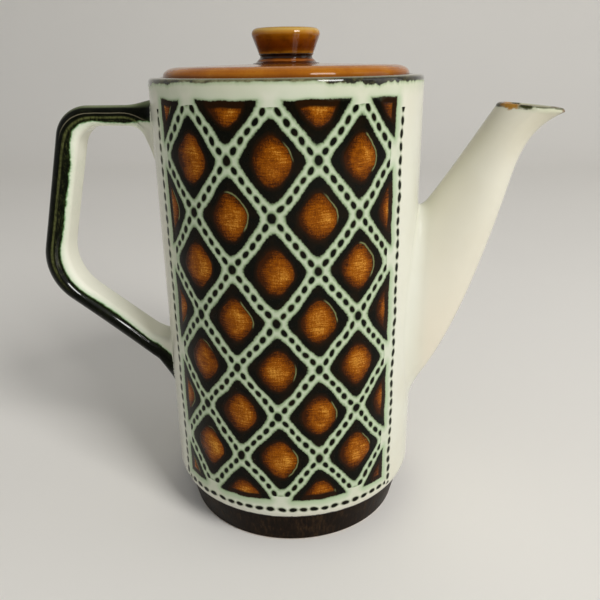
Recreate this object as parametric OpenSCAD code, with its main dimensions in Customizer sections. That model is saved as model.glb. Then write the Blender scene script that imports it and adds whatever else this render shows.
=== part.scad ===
// Cylindrical stoneware coffee pot with a lift-off lid.
// Millimetres. The origin is on the pot's axis, on the surface that it stands on.
// +Z is up, +X points out along the spout and -X out along the handle.

/* [Body] */
// Outer diameter of the straight wall
body_d = 112; // [106:0.5:118]
// Height of the rim above the table
rim_z = 194.5; // [190:0.5:200]
// Thickness of the cast wall
wall_t = 4.5; // [4:0.1:5]
// Thickness of the floor
floor_t = 5; // [4.5:0.1:6]
// Outer rounding where the wall turns in above the foot
heel_r = 9; // [8:0.5:12]
// Angle that the heel turns through before the foot
heel_turn = 40; // [35:1:45]
// Inner rounding between wall and floor
bowl_r = 20; // [18:0.5:22]
// Rounding of the outer lip
lip_r = 1.8; // [1:0.1:2.2]

/* [Foot] */
// Height of the foot
foot_h = 15.8; // [14:0.1:17]
// Diameter of the foot on the table
foot_d = 98.4; // [96:0.2:100]
// Step between the heel and the top of the foot
foot_step = 0.8; // [0.4:0.1:1.2]
// Thickness of the foot where it stands
foot_t = 5.2; // [4.6:0.1:7]
// Height of the hollow under the floor
recess_h = 5; // [4.5:0.1:6]
// Thickness of the foot where it meets the heel
foot_top_t = 2.8; // [2.4:0.1:3.2]
// Bevel on the foot's outer edge
foot_bevel = 0.8; // [0.4:0.1:1.2]

/* [Lid seat] */
// Thickness of the rim around the lid
rim_t = 4.8; // [4.4:0.1:5.2]
// Depth of the ledge below the rim
seat_depth = 4; // [3.5:0.1:5]
// Width of the ledge that carries the lid
ledge_w = 3.7; // [3.3:0.1:4.1]
// Height of the throat under the ledge
throat_h = 7.5; // [6.5:0.1:9]
// Direction of the notch that lets the lug through
notch_angle = 90; // [60:5:120]

/* [Strainer] */
// Diameter of a strainer hole
hole_d = 6; // [5:0.1:7]
// Spacing of the holes in a row
hole_pitch = 11; // [10:0.1:11.5]
// Spacing of the rows
row_pitch = 10; // [9:0.1:10.5]
// Number of rows
hole_rows = 5; // [3:1:5]
// Height of the middle row
strainer_z = 94; // [92:0.5:98]

/* [Spout] */
// Height at which the spout's back edge leaves the wall
spout_top_z = 138.5; // [136:0.5:141]
// Height at which the spout's belly leaves the wall
spout_low_z = 53.5; // [51:0.5:57]
// Width of the spout at its root
spout_root_w = 38; // [36:0.5:40]
// Distance from the pot's axis to the back of the mouth
mouth_back_x = 85.7; // [84:0.1:88]
// Distance from the pot's axis to the tip of the beak
mouth_tip_x = 113; // [111:0.2:115]
// Height of the back of the mouth
mouth_z = 183.2; // [180:0.2:186]
// Drop of the beak below the back of the mouth
beak_drop = 2.7; // [2:0.1:4]
// Width of the mouth
mouth_w = 24; // [22:0.5:26]
// Thickness of the spout's wall
spout_t = 3.2; // [2.8:0.1:3.6]
// Fillet where the spout meets the body
spout_fillet = 5; // [3:0.5:7]

/* [Handle] */
// Height of the upper arm's top
arm_top_z = 183.3; // [181:0.1:186]
// Thickness of the upper arm
arm_t = 8.2; // [7.6:0.1:9.4]
// Distance from the pot's axis to the upper corner of the back
corner_x = 98.4; // [96:0.1:101]
// Distance from the pot's axis to the lower corner of the back
elbow_x = 117.6; // [115:0.1:120]
// Height of the lower corner of the back
elbow_z = 105.6; // [103:0.1:109]
// Slope of the lower arm, in degrees
low_slope = 37.4; // [34:0.2:41]
// Thickness of the grip and the lower arm
grip_t = 11.7; // [10.5:0.1:12.5]
// Rounding of the back at the upper corner
corner_back_r = 15; // [12:0.5:18]
// Rounding of the finger side at the upper corner
corner_finger_r = 11; // [8:0.5:13]
// Rounding of the back at the lower corner
elbow_back_r = 24; // [20:0.5:28]
// Rounding of the finger side at the lower corner
elbow_finger_r = 22; // [16:0.5:25]
// Width of the handle
handle_w = 15; // [14:0.2:17]
// Rounding of the edges on the finger side
grip_edge_r = 3; // [2:0.1:3.6]
// Drop of the upper root's web down the wall
root_drop = 24; // [20:0.5:28]
// Drop of the lower root's tail down the wall
low_root_drop = 18; // [14:0.5:22]
// Spread of the roots to each side
root_spread = 3; // [2:0.2:4]

/* [Lid] */
// Play between the lid and its seat, all round
lid_play = 1.2; // [0.8:0.1:1.4]
// Height of the lid's edge above the rim
lid_rise = 3.6; // [3.2:0.1:4.2]
// Rise of the lid's top from its edge to the knob
lid_crown = 0.8; // [0.4:0.1:1.2]
// Thickness of the lid at its middle
lid_t = 4.8; // [4:0.1:5.4]
// Width of the lid's rounded shoulder
shoulder_w = 6.2; // [4:0.2:8]
// Height of the lid's rounded shoulder
shoulder_h = 3.4; // [2.6:0.1:4]
// Diameter of the steam vent
vent_d = 3.5; // [3:0.1:4]
// Distance of the vent from the lid's centre
vent_x = 27; // [24:0.5:30]
// Depth of the flange below the ledge
flange_h = 16.5; // [16:0.1:19]
// Thickness of the flange
flange_t = 4; // [3.5:0.1:4.5]
// Play between the flange and the throat
flange_play = 0.8; // [0.5:0.1:1.2]
// Bevel on the edges under the lid
lid_bevel = 0.8; // [0.4:0.1:1]
// Width of the locking lug
lug_w = 14; // [12:0.5:16]
// Height of the locking lug
lug_h = 4.5; // [4:0.1:5]
// Reach of the lug past the throat's wall
lug_reach = 2.7; // [2.3:0.1:2.9]
// Play between the lug and its notch
lug_play = 0.7; // [0.5:0.1:1]

/* [Knob] */
// Diameter of the knob at its widest
knob_d = 27.6; // [26:0.2:29]
// Height of the knob above the lid
knob_h = 13.4; // [12.5:0.1:14.5]
// Diameter of the neck groove
neck_d = 21.2; // [20:0.1:21.6]
// Diameter of the knob's lower edge
knob_low_d = 22.2; // [21.8:0.1:23]
// Diameter of the flared base on the lid
knob_base_d = 27.2; // [26.6:0.2:28.4]
// Rounding of the knob's top edge
knob_round = 2.2; // [1.6:0.1:2.6]
// Height of the groove round the neck above the lid
groove_h = 2.6; // [2.5:0.05:2.8]
// Radius of the groove round the neck
groove_r = 1; // [0.8:0.05:1.1]
// Radius of the hollow that flares out to the lid
base_flare = 2.4; // [2.2:0.05:2.5]
// Depth of the dish in the knob's top
dish = 0.8; // [0.4:0.1:1.2]

/* [Hidden] */
$fn = 120;
spout_steps = 26;
spout_sides = 44;
arc_steps = 8;

body_r = body_d / 2;
bore_r = body_r - wall_t;
foot_r = foot_d / 2;
foot_bore_r = foot_r - foot_t;
floor_z = recess_h + floor_t;
heel_z = foot_h + heel_r * sin(heel_turn);
heel_end_r = body_r - heel_r * (1 - cos(heel_turn));
foot_top_r = heel_end_r - foot_step;
nest_r = foot_top_r - foot_top_t;
seat_r = body_r - rim_t;
ledge_z = rim_z - seat_depth;
throat_r = seat_r - ledge_w;
throat_z = ledge_z - throat_h;

lid_r = seat_r - lid_play;
lid_edge_z = rim_z + lid_rise;
lid_top_z = lid_edge_z + lid_crown;
flange_r = throat_r - flange_play;
flange_z = ledge_z - flange_h;
lug_r = throat_r + lug_reach;
notch_w = lug_w + 2 * lug_play;

// Points along an arc, with the angles in degrees.
function arc(centre, r, from, to, steps = arc_steps) =
    [for (i = [0:steps])
        let (a = from + (to - from) * i / steps)
        centre + r * [cos(a), sin(a)]];

// Point at t on a cubic curve with four control points.
function cubic(p, t) =
    pow(1 - t, 3) * p[0] + 3 * t * pow(1 - t, 2) * p[1] + 3 * t * t * (1 - t) * p[2] + pow(t, 3) * p[3];

// Faces of a skin through rings of equal length; the rings run on into each other.
function skin_faces(rings, sides) =
    [for (i = [0:rings - 2], j = [0:sides - 1])
        let (a = i * sides + j, b = i * sides + (j + 1) % sides)
        each [[a, b + sides, b], [a, a + sides, b + sides]]];

// Skin that is closed by a flat fan at both ends.
module capped_skin(rings) {
    sides = len(rings[0]);
    last = (len(rings) - 1) * sides;
    ends = [[for (j = [0:sides - 1]) j], [for (j = [sides - 1:-1:0]) last + j]];
    polyhedron([for (r = rings) each r], concat(skin_faces(len(rings), sides), ends));
}

// Skin that returns to its first ring, like a tube with a wall.
module looped_skin(rings) {
    polyhedron([for (r = rings) each r], skin_faces(len(rings), len(rings[0])));
}

// ---------------------------------------------------------------- body

body_profile = concat(
    [[0, recess_h], [foot_bore_r, recess_h], [nest_r, foot_h]],
    arc([body_r - heel_r, heel_z], heel_r, -heel_turn, 0),
    arc([body_r - lip_r, rim_z - lip_r], lip_r, 0, 90, 6),
    arc([seat_r + lip_r / 2, rim_z - lip_r / 2], lip_r / 2, 90, 180, 4),
    [[seat_r, ledge_z], [throat_r, ledge_z], [throat_r, throat_z]],
    [[bore_r, throat_z - bore_r + throat_r]],
    arc([bore_r - bowl_r, floor_z + bowl_r], bowl_r, 0, -90, 12),
    [[0, floor_z]]
);

module strainer_holes() {
    for (row = [0:hole_rows - 1]) {
        holes = 3 - row % 2;
        row_z = strainer_z + (row - (hole_rows - 1) / 2) * row_pitch;
        for (i = [0:holes - 1])
            translate([0, (i - (holes - 1) / 2) * hole_pitch, row_z])
                rotate([0, 90, 0])
                    cylinder(d = hole_d, h = body_d);
    }
}

module lug_notch() {
    intersection() {
        cylinder(r = lug_r + lug_play, h = rim_z);
        rotate([0, 0, notch_angle])
            translate([0, -notch_w / 2, throat_z - 2 * lug_h])
                cube([body_d, notch_w, rim_z]);
    }
}

module pot_body() {
    color([0.88, 0.87, 0.80])
        difference() {
            rotate_extrude()
                polygon(body_profile);
            strainer_holes();
            lug_notch();
        }
}

// ---------------------------------------------------------------- foot

module foot_ring() {
    slope = (foot_top_r - foot_r) / foot_h;
    color([0.10, 0.09, 0.08])
        rotate_extrude()
            polygon([
                [foot_bore_r, 0],
                [foot_r - foot_bevel, 0],
                [foot_r + slope * foot_bevel, foot_bevel],
                [foot_top_r, foot_h],
                [nest_r, foot_h],
                [foot_bore_r, recess_h]
            ]);
}

// ---------------------------------------------------------------- spout

// The spout's back edge and belly are cubic curves in the XZ plane that start inside the wall.
// The belly is in two parts that meet at the waist, where the beak starts to swing out.
root_x = body_r - 6;
lip_z = mouth_z - spout_t / 2;
back_root = [root_x, spout_top_z - 7.5];
belly_root = [root_x, spout_low_z - 5.5];
mouth_back = [mouth_back_x, lip_z];
mouth_tip = [mouth_tip_x, lip_z - beak_drop];
waist = mouth_back + [5.6, -39.6];
waist_at = 0.62;
back_edge = [back_root, back_root + [10, 9.5], mouth_back - [9, 14], mouth_back];
belly_low = [belly_root, belly_root + [14.3, 13.5], waist - [14, 55], waist];
belly_high = [waist, waist + [4.1, 16], mouth_tip - [16.5, 6.6], mouth_tip];

function back_at(t) = cubic(back_edge, t);
function belly_at(t) =
    t < waist_at
        ? cubic(belly_low, t / waist_at)
        : cubic(belly_high, (t - waist_at) / (1 - waist_at));
function half_width_at(t) = mouth_w / 2 + (spout_root_w - mouth_w) / 2 * pow(1 - t, 1.5);
function rise_at(t) =
    let (d = back_at(min(1, t + 0.02)) - back_at(t - 0.02))
    d / norm(d);

// How far the front of a section is drawn to a point, for the beak.
beak_point = 0.28;
beak_from = 0.8;
function beak_at(t) = beak_point * pow(max(0, t - beak_from) / (1 - beak_from), 2);

// Spread of a round fillet of size r at distance d from the wall, dying out at the reach.
function flare(d, r, reach) = d >= reach ? 0 : r * (1 - sqrt(1 - pow(1 - max(0, d) / reach, 2)));

// One oval section of the spout at t. Its surface is drawn in by inset, measured square to the
// wall, raised by lift, and spread by a fillet at the body.
least_lean = 0.62;
function spout_ring(t, inset = 0, lift = 0, fillet = 0) =
    let (back = back_at(t), belly = belly_at(t), mid = (back + belly) / 2, along = (belly - back) / 2)
    let (half = norm(along), dir = along / half, up = [-dir[1], dir[0]])
    let (lean = max(least_lean, abs(up * rise_at(t))))
    let (long = half - inset / lean, wide = half_width_at(t) - inset)
    [for (i = [0:spout_sides - 1])
        let (a = 360 * i / spout_sides, c = cos(a), s = sin(a), q = [c / long, s / wide], n = q / norm(q))
        let (p = mid + dir * long * c + up * lift, y = wide * s * (1 - beak_at(t) * max(0, c)))
        let (f = flare(norm([p[0], y]) - body_r, fillet, max(fillet, 1)))
        [p[0] + dir[0] * n[0] * f, y + n[1] * f, p[1] + dir[1] * n[0] * f]];

function spout_t_at(i) = pow(i / spout_steps, 1.4);

spout_rings = concat(
    [for (i = [0:spout_steps]) spout_ring(spout_t_at(i), fillet = spout_fillet)],
    [for (a = [30:30:150]) spout_ring(1, spout_t / 2 * (1 - cos(a)), spout_t / 2 * sin(a))],
    [for (i = [spout_steps:-1:0]) spout_ring(spout_t_at(i), spout_t)],
    [spout_ring(0, fillet = spout_fillet)]
);

module spout() {
    color([0.86, 0.84, 0.77])
        difference() {
            looped_skin(spout_rings);
            cylinder(r = body_r, h = rim_z);
        }
}

// ---------------------------------------------------------------- handle

// The back and the finger side are two lines in the XZ plane with rounded corners. Each starts
// and ends inside the wall, and has a corner at the upper root, two at the grip and one at the
// lower root. Corners are [point, radius].
function ray(a) = [cos(a), sin(a)];
function heading(p, q) = atan2(q[1] - p[1], q[0] - p[0]);
function crossing(p, a, q, b) = p + ray(a) * ((q - p) * ray(b + 90)) / (ray(a) * ray(b + 90));

function rounded(p, c, q, steps = 9) =
    let (h = heading(p, c[0]), turn = ((heading(c[0], q) - h) % 360 + 540) % 360 - 180)
    let (side = turn < 0 ? -1 : 1, start = c[0] - ray(h) * c[1] * tan(abs(turn) / 2))
    let (centre = start + side * c[1] * ray(h + 90))
    [for (i = [0:steps]) centre - side * c[1] * ray(h + turn * i / steps + 90)];

function rounded_line(from, corners, to) =
    let (last = len(corners) - 1)
    concat(
        [from],
        [for (i = [0:last])
            let (before = i == 0 ? from : corners[i - 1][0], after = i == last ? to : corners[i + 1][0])
            each rounded(before, corners[i], after)],
        [to]
    );

wall_x = -body_r;
arm_low_z = arm_top_z - arm_t;
back_corner = [-corner_x, arm_top_z];
back_elbow = [-elbow_x, elbow_z];
grip_heading = heading(back_corner, back_elbow);
into_grip = grip_t * ray(grip_heading + 90);
into_low = grip_t * ray(90 - low_slope);
finger_corner = crossing([0, arm_low_z], 0, back_corner + into_grip, grip_heading);
finger_elbow = crossing(back_elbow + into_grip, grip_heading, back_elbow + into_low, -low_slope);
back_root_top = [wall_x - 11, arm_top_z];
finger_root_top = [wall_x - 5.2, arm_low_z];
back_root_low = crossing(back_elbow, -low_slope, [wall_x - 8.5, 0], 90);
finger_root_low = crossing(finger_elbow, -low_slope, [wall_x - 10, 0], 90);

back_line = rounded_line(
    [wall_x + 6, arm_top_z + 4],
    [[back_root_top, 30], [back_corner, corner_back_r], [back_elbow, elbow_back_r], [back_root_low, 9]],
    back_root_low + [12, -low_root_drop]
);
finger_line = rounded_line(
    [wall_x + 2.5, arm_low_z - root_drop],
    [
        [finger_root_top, 9],
        [finger_corner, corner_finger_r],
        [finger_elbow, elbow_finger_r],
        [finger_root_low, 20]
    ],
    [wall_x + 6, finger_root_low[1] - 6]
);

// Outline of the handle's section: a bowed back and a flat finger side with rounded edges.
// u points away from the fingers, v along the pot's Y axis.
function handle_section(half_t, half_w) =
    let (bow_r = (half_w * half_w + half_t * half_t) / (2 * half_t), bow = atan2(half_w, bow_r - half_t))
    let (e = min(grip_edge_r, half_t - 0.5))
    concat(
        arc([half_t - bow_r, 0], bow_r, -bow, bow, 12),
        arc([e - half_t, half_w - e], e, 90, 180, 5),
        arc([e - half_t, e - half_w], e, 180, 270, 5)
    );

// One section between a point on the back and its partner on the finger side.
spread_reach = 8;
function handle_ring(back, finger) =
    let (mid = (back + finger) / 2, half_t = norm(back - finger) / 2, u = (back - mid) / half_t)
    let (half_w = handle_w / 2 + flare(wall_x - mid[0], root_spread, spread_reach))
    [for (q = handle_section(half_t, half_w)) [mid[0] + u[0] * q[0], q[1], mid[1] + u[1] * q[0]]];

module handle() {
    color([0.16, 0.17, 0.11])
        difference() {
            capped_skin([for (i = [0:len(back_line) - 1]) handle_ring(back_line[i], finger_line[i])]);
            cylinder(r = body_r, h = rim_z);
        }
}

// ---------------------------------------------------------------- lid

module lid() {
    hollow_z = lid_top_z - lid_t;
    hollow_r = flange_r - flange_t;
    hollow_corner = 2;
    color([0.72, 0.38, 0.10])
        difference() {
            rotate_extrude()
                polygon(concat(
                    [[0, hollow_z], [hollow_r - hollow_corner, hollow_z], [hollow_r, ledge_z]],
                    [[lid_r - lid_bevel, ledge_z], [lid_r, ledge_z + lid_bevel]],
                    [for (p = arc([0, 0], 1, 0, 90, 10))
                        [lid_r - shoulder_w * (1 - p[0]), lid_edge_z - shoulder_h * (1 - p[1])]],
                    [[knob_base_d / 2 + 1, lid_top_z], [0, lid_top_z]]
                ));
            translate([-vent_x, 0, 0])
                cylinder(d = vent_d, h = 2 * rim_z);
        }
}

module lid_flange() {
    color([0.62, 0.33, 0.12])
        rotate_extrude()
            polygon([
                [flange_r - flange_t + lid_bevel, flange_z],
                [flange_r - lid_bevel, flange_z],
                [flange_r, flange_z + lid_bevel],
                [flange_r, ledge_z],
                [flange_r - flange_t, ledge_z],
                [flange_r - flange_t, flange_z + lid_bevel]
            ]);
}

module lid_lug() {
    color([0.62, 0.33, 0.12])
        translate([0, 0, flange_z + lid_bevel])
            intersection() {
                difference() {
                    cylinder(r = lug_r, h = lug_h);
                    cylinder(r = flange_r, h = lug_h);
                }
                rotate([0, 0, notch_angle])
                    translate([0, -lug_w / 2, 0])
                        cube([body_d, lug_w, lug_h]);
            }
}

// ---------------------------------------------------------------- knob

module knob() {
    knob_r = knob_d / 2;
    top_z = lid_top_z + knob_h;
    round_z = top_z - knob_round;
    groove_z = lid_top_z + groove_h;
    edge_h = 0.2;
    dish_edge = 2;
    color([0.50, 0.25, 0.04])
        rotate_extrude()
            polygon(concat(
                [[0, lid_top_z], [knob_base_d / 2, lid_top_z]],
                arc([knob_base_d / 2, lid_top_z + base_flare + edge_h], base_flare, 270, 210, 5),
                arc([neck_d / 2 + groove_r, groove_z], groove_r, 250, 110),
                [[knob_low_d / 2, groove_z + groove_r + edge_h]],
                arc([knob_r - knob_round, round_z], knob_round, -24, 90),
                [[knob_r - knob_round - dish_edge, top_z - edge_h], [0, top_z - dish]]
            ));
}

pot_body();
foot_ring();
spout();
handle();
lid();
lid_flange();
lid_lug();
knob();
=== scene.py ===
import math

import bpy
import numpy as np
from mathutils import Matrix, Vector


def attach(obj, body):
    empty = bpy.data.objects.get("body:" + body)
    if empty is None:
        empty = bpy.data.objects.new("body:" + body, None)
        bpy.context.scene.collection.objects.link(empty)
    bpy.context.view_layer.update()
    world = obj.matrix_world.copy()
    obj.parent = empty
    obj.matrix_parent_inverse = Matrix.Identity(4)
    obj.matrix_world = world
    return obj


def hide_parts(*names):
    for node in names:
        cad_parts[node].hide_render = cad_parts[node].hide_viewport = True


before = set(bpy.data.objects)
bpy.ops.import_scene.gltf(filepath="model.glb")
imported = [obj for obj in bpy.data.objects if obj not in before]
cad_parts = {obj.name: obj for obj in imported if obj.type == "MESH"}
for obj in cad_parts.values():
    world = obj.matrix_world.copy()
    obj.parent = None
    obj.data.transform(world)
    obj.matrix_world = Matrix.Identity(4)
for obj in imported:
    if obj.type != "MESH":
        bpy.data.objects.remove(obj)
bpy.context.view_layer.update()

# ---------------------------------------------------------------- the body
# The slip-cast cylinder: buff stoneware under a glossy off-white glaze. The front and the back
# are painted with a trellis of dark lozenges that have amber hearts, and short dashes run along
# the pale bands. The rim is dipped in the dark glaze, and the inside is brown.
body_r = 56  # millimetres, as every size here
rim_z = 194.5
foot_wash_top_z = 17.0
bare_below_z = 5.4
panel_half_w = 49
panel_low_z = 26
panel_top_z = 187.3
columns = 3
rows = 4
band_w = 5.2
dash_gap = 4.7
dash_half_w = 1.0
dash_half_l = 1.65
crossing_dot_r = 1.75
crossing_clear = (2.6, 2.0)
side_row_out = 4.6
side_row_middle = 21.5 * dash_gap
side_row_half_l = 17.5 * dash_gap
foot_row_down = 4.8
foot_row_half_l = 11 * dash_gap
hand_waver = 2.2


def tint(red, green, blue):
    """A colour from its everyday values, 0 to 255."""
    parts = [v / 255 for v in (red, green, blue)]
    return tuple(v / 12.92 if v < 0.04045 else ((v + 0.055) / 1.055) ** 2.4 for v in parts)


class Wire:
    """A wire out of a node. Sums of wires and numbers add Math nodes."""

    def __init__(self, tree, socket=None):
        self.tree, self.socket = tree, socket

    def node(self, kind, settings=None, sockets=None, out=0):
        """Adds a node: its settings first, then the values or wires of its sockets."""
        made = self.tree.nodes.new("ShaderNode" + kind)
        for name, value in (settings or {}).items():
            if name == "stops":
                ramp = made.color_ramp
                for _ in value[2:]:
                    ramp.elements.new(0.5)
                for stop, (place, colour) in zip(ramp.elements, value):
                    stop.position, stop.color = place, (*colour, 1)
            else:
                setattr(made, name, value)
        for name, value in (sockets or {}).items():
            end = made.inputs[name]
            if isinstance(value, Wire):
                self.tree.links.new(value.socket, end)
            elif end.type == "RGBA":
                end.default_value = (*value, 1)
            else:
                end.default_value = value
        return Wire(self.tree, made.outputs[out])

    def math(self, operation, *terms):
        return self.node("Math", {"operation": operation}, dict(enumerate(terms)))

    def __add__(self, other):
        return self.math("ADD", self, other)

    def __sub__(self, other):
        return self.math("SUBTRACT", self, other)

    def __mul__(self, other):
        return self.math("MULTIPLY", self, other)

    def __truediv__(self, other):
        return self.math("DIVIDE", self, other)

    def __pow__(self, other):
        return self.math("POWER", self, other)

    def __rsub__(self, other):
        return self.math("SUBTRACT", other, self)

    __radd__, __rmul__ = __add__, __mul__

    def __abs__(self):
        return self.math("ABSOLUTE", self)

    def least(self, other):
        return self.math("MINIMUM", self, other)

    def most(self, other):
        return self.math("MAXIMUM", self, other)

    def part(self):
        return self.math("FRACT", self)

    def rise(self, start, end):
        """0 up to start and 1 from end on, with a soft slope between."""
        slope = {"Value": self, "From Min": start, "From Max": end}
        return self.node("MapRange", {"interpolation_type": "SMOOTHSTEP"}, slope)

    def split(self):
        return [self.node("SeparateXYZ", None, {0: self}, axis) for axis in range(3)]

    def join(self, y, z):
        return self.node("CombineXYZ", None, {0: self, 1: y, 2: z})

    def scaled(self, x, y, z):
        return self.node("VectorMath", {"operation": "MULTIPLY"}, {0: self, 1: (x, y, z)})

    def grain(self, size, detail=2, rough=0.5):
        """Soft noise from 0 to 1 whose lumps are about size across."""
        lumps = {"Vector": self, "Scale": 1 / size, "Detail": detail, "Roughness": rough}
        return self.node("TexNoise", None, lumps)

    def waver(self, amount, size, detail=2, rough=0.5):
        """Soft noise that wanders half the amount to either side of 0."""
        return (self.grain(size, detail, rough) - 0.5) * amount

    def mix(self, without, with_it):
        """A colour that goes from one to another as this wire goes from 0 to 1."""
        return self.node("Mix", {"data_type": "RGBA"}, {0: self, 6: without, 7: with_it}, 2)

    def ramp(self, *stops):
        return self.node("ValToRGB", {"stops": stops}, {0: self})


def glaze(name):
    """A new finish, and the place of its surface on the pot in millimetres."""
    finish = bpy.data.materials.new(name)
    finish.use_nodes = True
    start = Wire(finish.node_tree)
    metres = start.node("TexCoord", out=3)
    return finish, metres.node("VectorMath", {"operation": "SCALE"}, {0: metres, "Scale": 1000})


def fire(finish, colour, roughness, relief=None, gloss=0.22, shine=0, shine_rough=0.06):
    """Sets a finish's colour, roughness and gloss, a relief in millimetres, and a clear shine."""
    shader = finish.node_tree.nodes["Principled BSDF"]
    shader.inputs["Specular IOR Level"].default_value = gloss
    shader.inputs["Coat Roughness"].default_value = shine_rough
    wires = {"Base Color": colour, "Roughness": roughness, "Coat Weight": shine}
    if relief:
        bump = {"Strength": 1, "Distance": 0.001, "Height": relief}
        wires["Normal"] = relief.node("Bump", None, bump)
    for name, value in wires.items():
        if isinstance(value, Wire):
            finish.node_tree.links.new(value.socket, shader.inputs[name])
        else:
            shader.inputs[name].default_value = value


def cream(place):
    """The off-white glaze: a little warmer where it is thin, with a few pinholes."""
    plain = place.grain(34, 3).rise(0.35, 0.68).mix(tint(221, 221, 206), tint(217, 215, 197))
    pit_gap = 15
    cells = {"Vector": place, "Scale": 1 / pit_gap}
    from_pit = place.node("TexVoronoi", None, cells)
    chosen = place.node("TexVoronoi", None, cells, 1).split()[0]
    pinhole = from_pit.rise(0.034, 0.018) * chosen.rise(0.72, 0.76)
    return (pinhole * 0.8).mix(plain, tint(92, 74, 52))


def off_axis(x, y):
    """How far a place is from the pot's upright axis."""
    return (x**2 + y**2) ** 0.5


painted, place = glaze("painted_body_glaze")
x, y, z = place.split()
u = x.math("ARCTAN2", x, abs(y)) * body_r + place.waver(hand_waver, 13, 1)
v = z + place.scaled(1, 1, 0.93).waver(hand_waver, 11, 1)

panel_mid_z = (panel_low_z + panel_top_z) / 2
panel_half_h = (panel_top_z - panel_low_z) / 2
lozenge_w = 2 * panel_half_w / columns
lozenge_h = 2 * panel_half_h / rows
lozenge_side = math.hypot(lozenge_w, lozenge_h) / 2
cell = lozenge_w * lozenge_h / (2 * lozenge_side)
dashes = round(lozenge_side / dash_gap)
rising = u * (1 / lozenge_w)
climbing = (v - panel_low_z) * (1 / lozenge_h)
first, second = rising + climbing, rising - climbing
from_first, from_second = first.part() - 0.5, second.part() - 0.5
reach_a, reach_b = abs(from_first) * cell, abs(from_second) * cell


def rounded_reach(power):
    """Distance from a lozenge's middle, square to its sides, with its corners rounded."""
    return (reach_a**power + reach_b**power) ** (1 / power)


def row_of_dashes(off_line, along_line, steps):
    """How far outside the nearest dash of a row: 1 on its edge, so 3 more leaves no dash."""
    step = (along_line * steps + 0.5).part() - 0.5
    return ((off_line * (1 / dash_half_w)) ** 2 + (step * (dash_gap / dash_half_l)) ** 2) ** 0.5


def border_row(off_line, along_line, middle, half_l):
    """A straight row of dashes outside the panel, cut off half its length from its middle."""
    past_end = abs(along_line - middle).rise(half_l - 0.05, half_l + 0.05)
    return row_of_dashes(off_line, along_line, 1 / dash_gap) + 30 * past_end


rough_edge = place.waver(0.9, 1.1)
from_heart = rounded_reach(8) + rough_edge
dark_half = (cell - band_w) / 2
outside = (abs(u) - panel_half_w).most(abs(v - panel_mid_z) - panel_half_h)
inside_panel = (outside + rough_edge).rise(0.25, -0.25)
off_a, off_b = cell / 2 - reach_a, cell / 2 - reach_b
dash_a = row_of_dashes(off_a, second, dashes) + 3 * off_b.rise(*crossing_clear)
dash_b = row_of_dashes(off_b, first, dashes) + 3 * off_a.rise(*crossing_clear)
dash = dash_a.least(dash_b).least((off_a**2 + off_b**2) ** 0.5 * (1 / crossing_dot_r))
dash = dash + 30 * outside.rise(-2.0, -1.9)
side_row = border_row(abs(u) - panel_half_w - side_row_out, v, side_row_middle, side_row_half_l)
foot_row = border_row(v - panel_low_z + foot_row_down, u, 0, foot_row_half_l)
dash = dash.least(side_row).least(foot_row) + place.waver(0.5, 2.6, 1)
tile = from_heart.rise(dark_half + 0.3, dark_half - 0.3) * inside_panel
painted_dark = tile.most(dash.rise(1.22, 0.8))

heart_half = dark_half * 0.685
heart_reach = rounded_reach(2.8) + place.waver(0.8, 2.4)
heart = heart_reach.rise(heart_half + 0.45, heart_half - 0.35) * outside.rise(-2.0, -3.2)
level_lines = (u * 0.2).join(v * 1.7, 4).grain(1, 3, 0.6)
upright_lines = (u * 1.5).join(v * 0.22, 0).grain(1, 2, 0.6)
sand = place.grain(0.42, 1)
dome = heart_reach.rise(heart_half + 0.3, heart_half * 0.1) * outside.rise(-2.5, -8)
# Each amber heart is lighter in its middle. Painted light: it is also painted lighter towards its
# right side, as the lamp at the right would light a domed heart.
heart_tone_and_side_light = 0.4 * heart_reach.rise(heart_half + 0.3, heart_half * 0.45) + 0.6 * place.grain(9, 1)
heart_tone_and_side_light = heart_tone_and_side_light + 0.4 * (from_first + from_second)
amber_tone_and_light = 0.75 * level_lines + 0.3 * upright_lines + 0.55 * sand + heart_tone_and_side_light - 0.96
amber = amber_tone_and_light.ramp(
    (0.1, tint(56, 24, 0)), (0.34, tint(112, 55, 0)),
    (0.56, tint(148, 80, 3)), (0.84, tint(214, 150, 54)),
)

near_dark = from_heart.rise(cell / 2 + 0.6, dark_half).most(dash.rise(2.6, 1.0))
bleed = outside.rise(5.5, 0.5) * (0.3 + 0.6 * near_dark)
bleed = bleed * (1 - 0.6 * v.rise(panel_top_z - 1, panel_top_z + 2))
ground = bleed.mix(cream(place), tint(170, 190, 154))
halo = from_heart.rise(dark_half + 0.9, dark_half) * outside.rise(0.9, 0)
halo = halo.most(dash.rise(1.7, 1.0))
ground = (halo * 0.55).mix(ground, tint(96, 118, 70))
black = place.grain(7, 3).rise(0.4, 0.7).mix(tint(7, 8, 3), tint(20, 13, 3))
colour = painted_dark.mix(ground, black)
round_heart = heart_reach.rise(heart_half + 1.8, heart_half) * tile
colour = (round_heart * 0.7).mix(colour, tint(40, 19, 2))
colour = heart.mix(colour, amber)
thin_edge = heart_reach.rise(heart_half + 0.95, heart_half + 0.5)
thin_edge = thin_edge * heart_reach.rise(heart_half + 0.1, heart_half + 0.45)
leaning = from_first + 0.6 * from_second + place.waver(2.4, 26, 1)
thin_edge = thin_edge * leaning.rise(0.35, 0.5) * outside.rise(-1.5, -3)
colour = (thin_edge * 0.55).mix(colour, tint(150, 158, 104))

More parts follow.
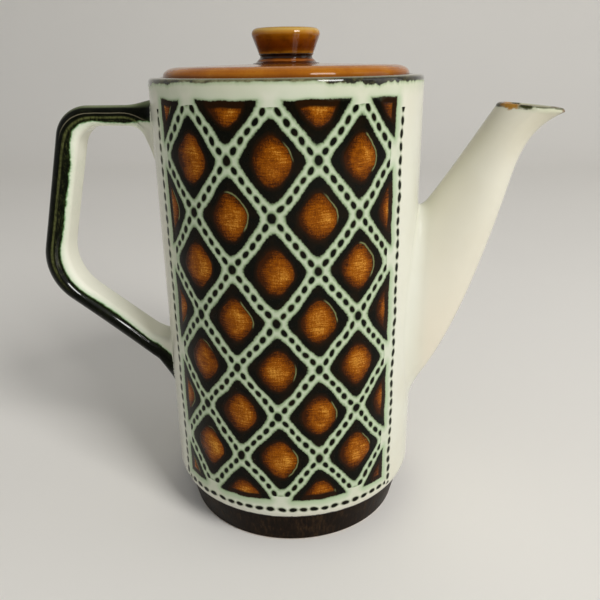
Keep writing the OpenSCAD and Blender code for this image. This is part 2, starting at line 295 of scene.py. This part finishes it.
dip = 0.5 + 1.1 * x.rise(15, 27) + x.rise(-26, -50)
runs = place.scaled(1, 1, 0.05)
drip = (runs.grain(7, 1) - 0.54).most(0)
fray = place.scaled(1, 1, 0.6).grain(2.4, 3, 0.6) - 0.5
dip_z = rim_z - 0.7 - dip * (0.9 + 6 * drip + 1.8 * fray)
past_dip = z - dip_z
dipped = past_dip.rise(-0.35, 0.35)
dip_glaze = (place.scaled(1, 1, 1.6).grain(3, 4, 0.6) + 0.2 * dip - 0.2).ramp(
    (0.26, tint(124, 122, 88)), (0.42, tint(84, 80, 46)),
    (0.56, tint(44, 41, 22)), (0.7, tint(20, 18, 8)),
)
colour = (past_dip.rise(-6, 0) * 0.35).mix(colour, tint(176, 192, 154))
colour = (past_dip.rise(-1.5, 0.1) * 0.55).mix(colour, tint(138, 166, 112))
colour = dipped.mix(colour, dip_glaze)
from_axis = off_axis(x, y)
facing_x, facing_y, facing_z = place.node("TexCoord", out=1).split()
outer_side = ((facing_x * x + facing_y * y) / from_axis - 1.2 * facing_z).rise(-0.2, 0.2)
lip = (z + place.waver(0.5, 3)).rise(rim_z - 0.75, rim_z - 0.3)
colour = (lip * 0.75).mix(colour, tint(128, 126, 100))
brown = place.scaled(1, 1, 0.12).grain(9, 3).mix(tint(70, 32, 8), tint(132, 68, 16))
brown = (z.grain(3, 3).rise(0.35, 0.7) * 0.4).mix(brown, tint(58, 24, 6))
within = (from_axis + 2.2 * z.rise(rim_z - 4, rim_z - 2)).rise(body_r - 2, body_r - 2.4)
colour = (within * (1 - outer_side * z.rise(40, 30))).mix(colour, brown)
wash_z = foot_wash_top_z + runs.waver(1.6, 2.5)
colour = ((wash_z - z).rise(-0.25, 0.2) * outer_side).mix(colour, tint(34, 24, 15))
bare = (bare_below_z - z).rise(-0.1, 0.1)
colour = bare.mix(colour, place.grain(3, 4).mix(tint(168, 140, 106), tint(196, 170, 134)))

relief = 0.09 * painted_dark + 0.04 * heart + 0.4 * heart * dome + 0.02 * heart * sand
relief = relief * outer_side + 0.3 * place.grain(24, 1) + 0.006 * place.grain(1.6, 1)
relief = relief + 0.06 * dipped
rough = 0.07 + 0.05 * place.grain(6, 2) + 0.16 * heart * outer_side + 0.45 * bare
fire(painted, colour, rough, relief, gloss=0.08, shine=dipped.most(lip))


def dress(finish, *nodes):
    """Gives a finish to pieces that keep their own shape."""
    for name in nodes:
        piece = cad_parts[name]
        piece.data.materials.clear()
        piece.data.materials.append(finish)


dress(painted, "pot_body")

# ---------------------------------------------------------------- the foot ring
# A turned ring of the same clay, luted under the heel. It is brushed with a thin black-brown
# wash that leaves fine upright streaks, and wiped clean where it stands on the table.
standing_inner_r = 44.3


def bare_clay(place):
    """Unglazed buff clay with its fine grain."""
    return place.grain(2.5, 4).mix(tint(166, 138, 104), tint(198, 172, 136))


washed, place = glaze("brushed_foot_wash")
x, y, z = place.split()
streaks = place.scaled(1, 1, 0.06).grain(1.1, 4, 0.65)
clouds = place.grain(9, 3)
wash = (0.7 * streaks + 0.3 * clouds).ramp(
    (0.32, tint(12, 7, 3)), (0.52, tint(29, 19, 11)), (0.7, tint(60, 43, 25))
)
wiped = (z + place.waver(0.5, 2)).rise(0.55, 0.3)
wiped = wiped.most(off_axis(x, y).rise(standing_inner_r, standing_inner_r - 0.2))
rough = 0.24 + 0.25 * streaks + 0.35 * wiped
relief = 0.08 * streaks + 0.02 * clouds
fire(washed, wiped.mix(wash, bare_clay(place)), rough, relief, gloss=0.04)
dress(washed, "foot_ring")

# ---------------------------------------------------------------- the spout
# A slip-cast spout that leans out from the wall and ends in a small pointed beak. It is luted
# on over the strainer holes with a smooth fillet, and glazed with the body. The inner glaze
# has run over its lip, amber and dark.
spout_top_z = 138.5
spout_low_z = 53.5
spout_root_w = 38
mouth_back = np.array([85.7, 181.6])
mouth_tip = np.array([113, 178.9])
mouth_w = 24
spout_wall = 3.2
spout_l = 128
spout_fillet = 5
waist_at = 0.62
beak_at = 0.8
beak_taper = 0.28
spout_root_x = body_r - 6
root_sink = 1.6


def pulled(points):
    """A cubic curve through the first and last of four points."""
    a, b, c, d = (np.array(p, float) for p in points)
    return lambda t: (
        (1 - t) ** 3 * a + 3 * t * (1 - t) ** 2 * b + 3 * t * t * (1 - t) * c + t**3 * d
    )


back_root = np.array([spout_root_x, spout_top_z - 7.5])
belly_root = np.array([spout_root_x, spout_low_z - 5.5])
waist = mouth_back + [5.6, -39.6]
back_edge = pulled([back_root, back_root + [10, 9.5], mouth_back - [9, 14], mouth_back])
belly_low = pulled([belly_root, belly_root + [14.3, 13.5], waist - [14, 55], waist])
belly_high = pulled([waist, waist + [4.1, 16], mouth_tip - [16.5, 6.6], mouth_tip])


def belly(t):
    """The spout's front edge, from its root to its beak."""
    return belly_low(t / waist_at) if t < waist_at else belly_high((t - waist_at) / (1 - waist_at))


def rooted(net, outward, side, fillet, count):
    """Rings that leave the pot's wall in a round fillet, from lines that start inside the wall.

    A net has its steps, the points round each step, and then x, y, z and the facts about a point.
    """
    distance = np.hypot(net[:, :, 0], net[:, :, 1]) - body_r
    turns = np.radians(np.arange(90, -1, -7.5))
    rise = np.concatenate([[-root_sink, -0.4], fillet * (1 - np.sin(turns))])
    spread = np.concatenate([[fillet + root_sink] * 2, fillet * (1 - np.cos(turns))])[:, None]
    known = np.concatenate([net, outward], 2)
    rings = np.empty((len(rise) + count, known.shape[1], known.shape[2]))
    for j in range(known.shape[1]):
        clear = np.argmax(distance[:, j] > fillet) + 1
        near = np.interp(rise, distance[:clear, j], np.arange(clear))
        near[:2] = near[2]
        far = near[-1] + (len(net) - 1 - near[-1]) * np.arange(1, count + 1) / count
        steps = np.concatenate([near, far])
        for k in range(known.shape[2]):
            rings[:, j, k] = np.interp(steps, np.arange(len(net)), known[:, j, k])
    foot = rings[: len(rise)]
    angle = np.arctan2(foot[:, :, 1], foot[:, :, 0] * side)
    around = foot[:, :, -2] * np.cos(angle) - foot[:, :, -3] * side * np.sin(angle)
    length = np.hypot(around, foot[:, :, -1])
    angle += spread * around / length / body_r
    foot[:, :, 2] += spread * foot[:, :, -1] / length
    foot[:, :, 0] = (body_r + rise)[:, None] * np.cos(angle) * side
    foot[:, :, 1] = (body_r + rise)[:, None] * np.sin(angle)
    return rings[:, :, :-3]


def spout_section(t, inset=0, lift=0, sides=128):
    """One oval section of the spout.

    It gives the points, how far round to the front each is, and which way is out.
    """
    back, front = back_edge(t), belly(t)
    middle, half = (back + front) / 2, np.linalg.norm(front - back) / 2
    ahead = (front - back) / (2 * half)
    up = np.array([-ahead[1], ahead[0]])
    climb = back_edge(min(1, t + 0.02)) - back_edge(t - 0.02)
    lean = max(0.62, abs(up @ climb) / np.linalg.norm(climb))
    long = half - inset / lean
    wide = mouth_w / 2 + (spout_root_w - mouth_w) / 2 * (1 - t) ** 1.5 - inset
    turn = np.arange(sides) * 2 * math.pi / sides
    c, s = np.cos(turn), np.sin(turn)
    square = np.stack([c / long, s / wide])
    square /= np.linalg.norm(square, axis=0)
    point = beak_taper * (max(0, t - beak_at) / (1 - beak_at)) ** 2
    out = middle[:, None] + ahead[:, None] * long * c + (up * lift)[:, None]
    sideways = wide * s * (1 - point * np.maximum(0, c))
    facing = np.stack([ahead[0] * square[0], square[1], ahead[1] * square[0]], 1)
    return np.stack([out[0], sideways, out[1]], 1), c, facing


def skinned(name, rings, facts, loop=False):
    """A smooth piece through a net's rings. The facts name what follows x, y and z."""
    sides = len(rings[0])
    verts = np.concatenate(rings)
    off = np.hypot(verts[:, 0], verts[:, 1])
    verts[:, :2] *= np.maximum(1, (body_r - root_sink) / off)[:, None]
    faces = []
    for i in range(len(rings) - (0 if loop else 1)):
        for j in range(sides):
            a, b = i * sides + j, i * sides + (j + 1) % sides
            up = ((i + 1) % len(rings)) * sides - i * sides
            faces.append((a, b, b + up, a + up))
    if not loop:
        last = (len(rings) - 1) * sides
        faces += [tuple(range(sides))[::-1], tuple(range(last, last + sides))]
    shape = bpy.data.meshes.new(name)
    shape.from_pydata((verts[:, :3] / 1000).tolist(), [], faces)
    for k, label in enumerate(facts):
        values = np.ascontiguousarray(verts[:, 3 + k], np.float32)
        shape.attributes.new(label, "FLOAT", "POINT").data.foreach_set("value", values)
    shape.validate()
    shape.shade_smooth()
    shape.set_sharp_from_angle(angle=math.radians(50))
    piece = bpy.data.objects.new(name, shape)
    bpy.context.scene.collection.objects.link(piece)
    return piece


def spout_ring(t, depth, inset=0, lift=0):
    """A ring of the spout's net. Its facts are how far round to the front, and below the lip."""
    ring, front, _ = spout_section(t, inset, lift)
    return np.column_stack([ring, front, np.full(len(ring), depth)])


def fact(place, name):
    """A fact that the mesh keeps for each of its points."""
    return place.node("Attribute", {"attribute_name": name}, out=2)


stations = (np.arange(401) / 400) ** 1.4
outer = np.stack([spout_ring(t, (1 - t) * spout_l) for t in stations])
outward = np.stack([spout_section(t)[2] for t in stations])
rings = list(rooted(outer, outward, side=1, fillet=spout_fillet, count=110))
lip_r = spout_wall / 2
for bend in np.radians(np.arange(15, 180, 15)):
    rings.append(spout_ring(1, -bend, lip_r * (1 - math.cos(bend)), lip_r * math.sin(bend)))
rings += [spout_ring(t, -spout_wall - (1 - t) * spout_l, spout_wall) for t in stations[::-5]]
spout = skinned("spout_shell", rings, ["front", "below_lip"], loop=True)

poured, place = glaze("spout_glaze")
x, y, z = place.split()
front, below_lip = fact(place, "front"), fact(place, "below_lip")
from_wall = off_axis(x, y) - body_r
warm = (0.4 + 0.6 * z.rise(150, 60)) * from_wall.rise(1, 9)
colour = warm.mix(cream(place), tint(227, 219, 200))
# Painted shade: the upper back of the spout is a touch darker.
painted_back_shade = front.rise(-0.35, -0.95) * z.rise(110, 168)
colour = (painted_back_shade * 0.05).mix(colour, tint(176, 170, 140))
# Greyer towards the top of the spout, most of all towards the beak.
greyer_top = z.rise(150, 182) * (0.3 + 0.4 * front.rise(-0.6, 0.6))
colour = greyer_top.mix(colour, tint(196, 190, 168))
ragged = below_lip + place.waver(2.2, 1.8, 3, 0.6)
round_lip = front * 0.5 + 0.5


def patch(middle, half_round, drop):
    """A pool of glaze on the lip, with an uneven edge."""
    aside, below = (round_lip - middle) * (1 / half_round), (ragged + 1.2) * (1 / drop)
    return ((aside**2 + below**2) ** 0.5 + place.waver(0.9, 1.6)).rise(1.25, 0.6)


thin_run = round_lip.rise(0.3, 0.42)
lip_run = (round_lip + place.waver(0.1, 3)).ramp(
    (0.0, tint(110, 112, 100)), (0.3, tint(150, 154, 120)),
    (0.45, tint(188, 192, 164)), (0.96, tint(198, 198, 172)),
)
colour = (ragged.rise(3.4, 0.4) * 0.4).mix(colour, tint(196, 200, 174))
colour = ((ragged + 0.6).rise(1.2, 0.0) * 0.8).mix(colour, lip_run)
colour = (patch(0.0, 0.06, 2.2) * 0.9).mix(colour, tint(78, 78, 70))
amber_run = place.grain(2, 2).mix(tint(140, 88, 3), tint(186, 132, 20))
colour = (patch(0.13, 0.11, 2.0).most(patch(0.15, 0.04, 3.2)) * 0.9).mix(colour, amber_run)
dark_run = place.grain(1.5, 2).mix(tint(26, 26, 8), tint(62, 64, 30))
colour = patch(0.33, 0.1, 1.3).mix(colour, dark_run)
colour = (patch(1.0, 0.09, 3.6) * 0.9).mix(colour, tint(96, 58, 4))
olive_line = abs(below_lip + 1.0 + place.waver(0.9, 5)).rise(0.55, 0.15)
olive_line = olive_line * thin_run * place.grain(4, 2).rise(0.35, 0.5)
colour = (olive_line * 0.85).mix(colour, tint(70, 72, 36))
inner = place.grain(6, 3).mix(tint(80, 38, 10), tint(128, 66, 16))
colour = below_lip.rise(-1.9, -3.0).mix(colour, inner)
relief = 0.5 * place.grain(24, 1) + 0.006 * place.grain(1.6, 1)
fire(poured, colour, 0.08 + 0.05 * place.grain(6, 2), relief, gloss=0.12)
spout.data.materials.append(poured)
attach(spout, "pot")
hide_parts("spout")

# ---------------------------------------------------------------- the handle
# A pressed handle with a bowed back and a flat finger side, bent at two corners and luted on
# at both roots. The back was dipped in the dark glaze, which ends in a ragged green edge on the
# sides, breaks to olive on the side edge, and has run into a raised roll along the lower arm.
arm_top_z = 183.3
arm_thick = 8.2
corner_x = 98.4
elbow = np.array([-117.6, 105.6])
low_slope = 37.4
grip_thick = 11.7
handle_w = 15
grip_edge_r = 3
root_drop = 24
low_root_drop = 18
root_spread = 3
wall_x = -body_r
roll_h = 0.86
roll_low, roll_high = 1.3, 3.0
roll_start, roll_end = (92, 110), (174, 162)


def ray(angle):
    return np.array([math.cos(math.radians(angle)), math.sin(math.radians(angle))])


def heading(p, q):
    return math.degrees(math.atan2(q[1] - p[1], q[0] - p[0]))


def crossing(p, a, q, b):
    """Where a line through p at angle a meets a line through q at angle b."""
    return p + ray(a) * (np.subtract(q, p) @ ray(b + 90)) / (ray(a) @ ray(b + 90))


def bent_line(start, corners, end, steps=28):
    """A line with rounded corners, each given as a point and a radius."""
    places = [np.array(p, float) for p in (start, *(c[0] for c in corners), end)]
    line = [places[0]]
    for i, (_, radius) in enumerate(corners):
        before, corner, after = places[i], places[i + 1], places[i + 2]
        h = heading(before, corner)
        turn = ((heading(corner, after) - h) % 360 + 540) % 360 - 180
        side = -1 if turn < 0 else 1
        entry = corner - ray(h) * radius * math.tan(math.radians(abs(turn) / 2))
        centre = entry + side * radius * ray(h + 90)
        line += [centre - side * radius * ray(h + turn * k / steps + 90) for k in range(steps + 1)]
    return line + [places[-1]]


back_corner = np.array([-corner_x, arm_top_z])
grip_heading = heading(back_corner, elbow)
into_grip = grip_thick * ray(grip_heading + 90)
into_low = grip_thick * ray(90 - low_slope)
under_arm = np.array([0, arm_top_z - arm_thick])
finger_corner = crossing(under_arm, 0, back_corner + into_grip, grip_heading)
finger_elbow = crossing(elbow + into_grip, grip_heading, elbow + into_low, -low_slope)
back_root_low = crossing(elbow, -low_slope, [wall_x - 8.5, 0], 90)
finger_root_low = crossing(finger_elbow, -low_slope, [wall_x - 10, 0], 90)
back_line = bent_line(
    [wall_x + 6, arm_top_z + 4],
    [([wall_x - 11, arm_top_z], 30), (back_corner, 15), (elbow, 24), (back_root_low, 9)],
    back_root_low + [12, -low_root_drop],
)
finger_root = [wall_x - 5.2, arm_top_z - arm_thick]
finger_line = bent_line(
    [wall_x + 2.5, arm_top_z - arm_thick - root_drop],
    [(finger_root, 9), (finger_corner, 11), (finger_elbow, 22), (finger_root_low, 20)],
    [wall_x + 6, finger_root_low[1] - 6],
)


def evened(back, finger, gap=1.0):
    """Adds pairs so that no two along the handle are more than a gap apart."""
    pairs = []
    for i in range(len(back) - 1):
        back_step, finger_step = back[i + 1] - back[i], finger[i + 1] - finger[i]
        far = max(np.linalg.norm(back_step), np.linalg.norm(finger_step))
        n = max(1, math.ceil(far / gap))
        pairs += [(back[i] + back_step * k / n, finger[i] + finger_step * k / n) for k in range(n)]
    return pairs + [(back[-1], finger[-1])]


def arc(centre, radius, start, end, steps):
    turn = np.radians(np.linspace(start, end, steps + 1))
    return [(centre[0] + radius * math.cos(a), centre[1] + radius * math.sin(a)) for a in turn]


def handle_outline(half_thick, half_wide, count=176):
    """The section in even steps: a bowed back, sharp side edges and a flat finger side."""
    bow_r = (half_wide**2 + half_thick**2) / (2 * half_thick)
    bow = math.degrees(math.atan2(half_wide, bow_r - half_thick))
    e = min(grip_edge_r, half_thick - 0.5)
    corners = (
        arc((half_thick - bow_r, 0), bow_r, -bow, bow, 60)
        + arc((e - half_thick, half_wide - e), e, 90, 180, 20)
        + arc((e - half_thick, e - half_wide), e, 180, 270, 20)
    )
    corners = np.array(corners + corners[:1])
    reached = np.concatenate([[0], np.cumsum(np.linalg.norm(np.diff(corners, axis=0), axis=1))])
    even = np.arange(count) * reached[-1] / count
    return np.stack([np.interp(even, reached, corners[:, k]) for k in (0, 1)], 1)


def facing_out(outline):
    """The direction out of each point of a section."""
    edge = np.roll(outline, -1, 0) - np.roll(outline, 1, 0)
    return np.stack([edge[:, 1], -edge[:, 0]], 1) / np.linalg.norm(edge, axis=1)[:, None]


def eased(value, start, end):
    step = np.clip((value - start) / (end - start), 0, 1)
    return step * step * (3 - 2 * step)


# How far the dark glaze reaches past the side edge, by the distance along the handle.
dark_past_edge = np.array([
    (0, -8.7), (5.7, -4.5), (11.5, -1.3), (14.2, 0.6), (16.9, 2.0), (19.8, 2.9), (33.7, 2.5),
    (45, 2.2), (60, 3.9), (80, 3.9), (96, 4.2), (108, 3.5), (125, 3.6), (140, 3.7), (154, 3.9),
    (162, 3.9), (170, 3.6), (180, 3.4), (188, 3.0),
])
rings, outwards = [], []
travelled, previous = 0, None
for back, finger in evened(back_line, finger_line):
    middle, half = (back + finger) / 2, np.linalg.norm(back - finger) / 2
    outward = (back - middle) / half
    outline = handle_outline(half, handle_w / 2)
    travelled += 0 if previous is None else np.linalg.norm(middle - previous)
    previous = middle
    over = outline[:, 0] + np.interp(travelled, *dark_past_edge.T)
    roll = np.clip(roll_h * (over - roll_low), 0, roll_h) * eased(over, over.max(), roll_high)
    roll *= eased(travelled, *roll_start) * eased(travelled, *roll_end)
    outline = outline + facing_out(outline) * roll[:, None]
    out = facing_out(outline)
    rings.append(np.column_stack([
        middle[0] + outward[0] * outline[:, 0], outline[:, 1],
        middle[1] + outward[1] * outline[:, 0],
        outline[:, 0] / half, np.full(len(outline), travelled), over,
    ]))
    outwards.append(np.column_stack([outward[0] * out[:, 0], out[:, 1], outward[1] * out[:, 0]]))
rings, outwards = np.array(rings), np.array(outwards)
grip = len(rings) // 2
upper, lower = (
    rooted(rings[arm], outwards[arm], side=-1, fillet=root_spread, count=130)
    for arm in (slice(grip), slice(None, grip - 1, -1))
)
handle = skinned("handle_grip", list(upper) + list(lower[::-1]), ["to_back", "along", "over"])

dipped_handle, place = glaze("handle_glaze")
x, y, z = place.split()
to_back, along, over = (fact(place, name) for name in ("to_back", "along", "over"))
pooled = along.rise(*roll_start) * along.rise(*roll_end)
flank = over.rise(1.1, 1.4) * over.rise(2.7, 2.2)
ragged = place.waver(1.5, 1.3, 3, 0.6) + place.waver(0.9, 6)
from_wall = off_axis(x, y) - body_r
over = over + ragged * (1 - 0.5 * pooled) - 12 * (from_wall + ragged * 0.6).rise(1.2, 0.5)
brushed_and_lit = (along * 0.05).join(to_back * 5, 7).grain(1, 3)
brushed_and_lit = brushed_and_lit.mix(tint(248, 250, 234), tint(240, 245, 224))
# Painted light: the finger face is painted lighter still, standing in for the light it would catch
# from the right.
brushed_and_lit = to_back.rise(-0.8, -0.97).mix(brushed_and_lit, tint(248, 247, 232))
colour = (from_wall.rise(2, 9) * 0.85).mix(cream(place), brushed_and_lit)
dark_green = place.grain(3.5, 3).ramp(
    (0.35, tint(6, 8, 2)), (0.6, tint(15, 17, 7)), (0.75, tint(30, 34, 14))
)
colour = (over.rise(-2.6, 0.0) * 0.45).mix(colour, tint(180, 202, 164))
colour = (over.rise(-0.8, 0.0) * 0.9).mix(colour, tint(110, 156, 98))
colour = over.rise(-0.3, 0.2).mix(colour, tint(46, 66, 28))
colour = over.rise(-0.05, 0.5).mix(colour, dark_green)
speckle = place.scaled(1, 1, 0.5).grain(0.8, 3, 0.7)
broken_edge = over.rise(2.2, 0.4) * over.rise(0, 0.4) * speckle.rise(0.45, 0.65)
colour = (broken_edge * 0.6).mix(colour, tint(52, 66, 30))
streaky = (along * 0.08).join(to_back * 6, 0).grain(1, 3)
off_edge = to_back + place.waver(0.1, 6) + 0.12 - 0.16 * along.rise(38, 62)
olive = abs(off_edge).rise(0.17, 0.02) * (0.35 + 0.65 * speckle.rise(0.35, 0.6))
olive = olive + 0.4 * abs(off_edge + 0.3).rise(0.16, 0.02) * speckle.rise(0.45, 0.7)
olive = olive * z.rise(98, 116) * streaky.rise(0.2, 0.5) * along.rise(8, 16)
colour = (olive * 0.85).mix(colour, tint(96, 100, 58))
# A painted highlight: a thin light line along the side of the top arm.
painted_arris_highlight = abs(off_edge - 0.42).rise(0.06, 0.0) * along.rise(6, 14) * along.rise(54, 44)
colour = (painted_arris_highlight * 0.7).mix(colour, tint(140, 132, 108))
# The crown of the top arm is paler where the glaze is thin, with a painted highlight along it.
crown_thin_and_sheen = to_back.rise(0.72, 0.95) * z.rise(150, 182) * streaky.rise(0.2, 0.5) * over.rise(0.5, 2)
colour = (crown_thin_and_sheen * (0.55 + 0.3 * speckle)).mix(colour, tint(138, 150, 108))
rough = 0.08 + 0.06 * place.grain(4, 2)
relief = 0.12 * over.rise(-0.2, 0.4) * (1 - pooled)
relief = relief + 0.25 * place.grain(16, 1) + 0.01 * place.grain(1.5, 1)
shine = flank * pooled
fire(dipped_handle, colour, rough, relief, gloss=0.05, shine=shine, shine_rough=0.08)
handle.data.materials.append(dipped_handle)
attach(handle, "pot")
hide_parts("handle")

# ---------------------------------------------------------------- the lid
# A thrown disc with a rounded shoulder, dipped in translucent orange-brown glaze that is
# thinner and darker at the edge. A flange ring and a locking lug are luted under it.
shoulder_top_z = 196.4
shoulder_low_z = 193.0
lid_under_z = 190.9
flange_low_z = 175.0

amber_lid, place = glaze("lid_glaze")
x, y, z = place.split()
rings_thrown = off_axis(x, y).join(z, 0).grain(1.4, 2, 0.6)
cloud = place.grain(12, 3)
depth = 0.5 * cloud + 0.35 * rings_thrown + 0.15 * place.grain(0.7, 1)
colour = depth.ramp((0.3, tint(138, 74, 5)), (0.5, tint(166, 96, 10)), (0.7, tint(188, 122, 26)))
colour = (z.rise(shoulder_top_z, shoulder_low_z) * 0.85).mix(colour, tint(104, 44, 8))
under = place.scaled(1, 1, 0.15).grain(5, 3, 0.6).mix(tint(84, 40, 12), tint(146, 84, 34))
under = (rings_thrown.rise(0.4, 0.7) * 0.35).mix(under, tint(66, 30, 8))
colour = (z - lid_under_z).rise(0.3, 0).mix(colour, under)
bare_edge = (z - flange_low_z + place.waver(0.8, 3)).rise(0.5, 0)
colour = bare_edge.mix(colour, bare_clay(place))
rough = 0.04 + 0.05 * cloud + 0.45 * bare_edge
relief = 0.03 * rings_thrown + 0.4 * place.grain(20, 1)
fire(amber_lid, colour, rough, relief)
dress(amber_lid, "lid", "lid_flange", "lid_lug")

# ---------------------------------------------------------------- the knob
# A turned knob with a flared base, a fine groove round its neck and a dished top. The same
# glaze runs thick and dark on its sides and breaks to olive-yellow on its edges.
knob_foot_z = 198.9
knob_h = 13.4
dish_r = 10.6

dark_knob, place = glaze("knob_glaze")
x, y, z = place.split()
up = (z - knob_foot_z + place.waver(0.5, 4)) * (1 / knob_h)
colour = up.ramp(
    (0.0, tint(62, 25, 4)), (0.06, tint(80, 36, 5)), (0.09, tint(152, 84, 8)),
    (0.13, tint(100, 50, 6)), (0.16, tint(26, 9, 2)), (0.27, tint(20, 7, 1)),
    (0.30, tint(170, 116, 26)), (0.36, tint(112, 58, 3)), (0.45, tint(94, 40, 1)),
    (0.62, tint(116, 56, 1)), (0.78, tint(152, 92, 9)), (0.87, tint(182, 128, 38)),
    (0.94, tint(196, 160, 82)), (0.985, tint(172, 132, 52)),
)
dish = off_axis(x, y).rise(dish_r, dish_r - 2.4) * up.rise(0.88, 0.93)
colour = dish.mix(colour, tint(138, 78, 12))
mottle = place.scaled(1, 1, 1.8).grain(4, 3).rise(0.42, 0.7) * up.rise(0.86, 0.7)
colour = (mottle * 0.5).mix(colour, tint(58, 22, 1))
fire(dark_knob, colour, 0.05 + 0.05 * place.grain(3, 2), 0.12 * place.grain(7, 1), gloss=0.4)
dress(dark_knob, "knob")

# ---------------------------------------------------------------- the studio
# A plain pale sweep that rises behind the pot, a soft window lamp at the front right, a weak
# lamp at the right, a weaker cool one at the left, and the camera. Its sizes are in metres.
sweep_front, sweep_back = -5.0, 1.5
sweep_half_w = 4.0
sweep_top = 2.6
sweep_r = 0.5
curve = [(sweep_front, 0)]
for turn in np.radians(np.arange(0, 91, 5)):
    curve.append((sweep_back - sweep_r * (1 - math.sin(turn)), sweep_r * (1 - math.cos(turn))))
curve.append((sweep_back, sweep_top))
points = [(side * sweep_half_w, deep, high) for deep, high in curve for side in (-1, 1)]
panels = [(2 * i, 2 * i + 1, 2 * i + 3, 2 * i + 2) for i in range(len(curve) - 1)]
sweep_mesh = bpy.data.meshes.new("sweep")
sweep_mesh.from_pydata(points, [], panels)
sweep_mesh.shade_smooth()
sweep = bpy.data.objects.new("sweep", sweep_mesh)
bpy.context.scene.collection.objects.link(sweep)
paper, place = glaze("sweep_paper")
pale = place.grain(300, 2).mix(tint(236, 233, 227), tint(240, 237, 231))
fire(paper, pale, 0.75, gloss=0.2)
sweep.data.materials.append(paper)


def lamp(name, spot, size, power, colour):
    """A soft lamp that faces the middle of the pot."""
    light = bpy.data.lights.new(name, "AREA")
    light.shape, (light.size, light.size_y) = "RECTANGLE", size
    light.energy, light.color = power, colour
    held = bpy.data.objects.new(name, light)
    held.location = spot
    beam = Vector((0, 0, 0.1)) - Vector(spot)
    held.rotation_euler = beam.to_track_quat("-Z", "Y").to_euler()
    bpy.context.scene.collection.objects.link(held)


warm_white, cool_white = (1.0, 0.99, 0.975), (0.95, 0.975, 1.0)
lamp("window_lamp", (1.0, -0.98, 1.22), (0.54, 0.8), 21.5, warm_white)
lamp("side_lamp", (1.5, 0.1, 0.7), (0.9, 1.2), 2.6, warm_white)
lamp("cool_lamp", (-1.3, -0.3, 0.7), (0.9, 1.2), 0.5, cool_white)
room = bpy.data.worlds.new("soft_room")
bpy.context.scene.world = room
room.use_nodes = True
room_light = room.node_tree.nodes["Background"].inputs
room_light["Color"].default_value = (0.98, 0.99, 1.0, 1)
room_light["Strength"].default_value = 0.32

lens = bpy.data.cameras.new("camera")
lens.sensor_width = 36
lens.lens = 38.272
lens.clip_start = 0.01
camera = bpy.data.objects.new("camera", lens)
camera_spot = (0.029132, -0.277171, 0.198806)
right = Vector((0.996328, 0.084468, -0.013984))
ahead = Vector((-0.084052, 0.933895, -0.347529))
turned = Matrix((right, right.cross(ahead), -ahead)).transposed().to_4x4()
camera.matrix_world = Matrix.Translation(camera_spot) @ turned
bpy.context.scene.collection.objects.link(camera)
bpy.context.scene.camera = camera
bpy.context.scene.view_settings.view_transform = "Standard"
